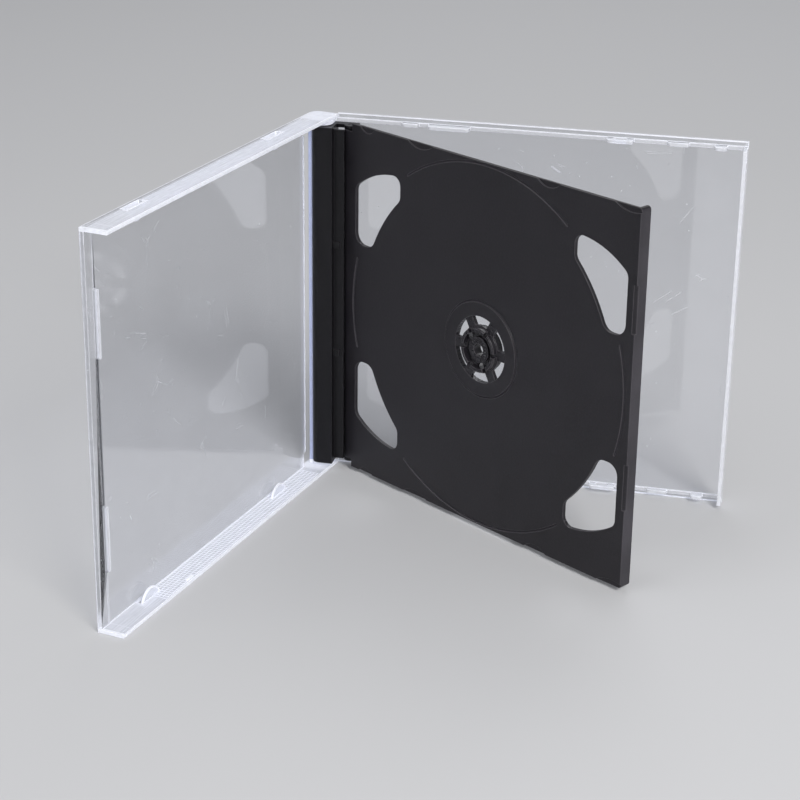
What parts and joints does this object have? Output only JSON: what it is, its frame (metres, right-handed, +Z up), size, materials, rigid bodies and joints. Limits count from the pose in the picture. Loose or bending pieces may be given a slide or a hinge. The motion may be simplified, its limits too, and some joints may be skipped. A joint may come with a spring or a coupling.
{
  "type": "double disc case",
  "caption": "Square hinged disc case in clear plastic with a black swinging tray between its covers, a fingered hub and finger openings in the tray; stands half open on its edges.",
  "frame": {"origin": "on the pin line of the front cover, at the plane its lower edge stands on", "axes": "+X along the back cover from the spine to its free edge, +Y out through the back cover, +Z up along the pin line"},
  "size_m": [0.1704, 0.1412, 0.125],
  "materials": {
    "clear_front": "water-clear polished polystyrene with finely gridded side walls",
    "clear_back": "water-clear polished polystyrene",
    "black_spine": "smooth black polystyrene",
    "black_tray": "fine-grained matt black polystyrene with a glossy hub"
  },
  "bodies": {
    "back": {"back_cover": "clear_back", "tray_spine": "black_spine"},
    "cover": {"front_cover": "clear_front"},
    "tray": {"swing_tray": "black_tray"}
  },
  "joints": [
    {"name": "cover_hinge", "type": "hinge", "parent": "back", "child": "cover", "pos_m": [0, 0, 0.0625], "axis": [0, 0, -1], "range_deg": [-101.4, 78.6]},
    {"name": "tray_hinge", "type": "hinge", "parent": "back", "child": "tray", "pos_m": [0.0095, 0.0011, 0.0625], "axis": [0, 0, -1], "range_deg": [-33.8, 26.2]}
  ],
  "couplings": [
    {"joint": "tray_hinge", "follows": "cover_hinge", "ratio": 0.33333}
  ]
}
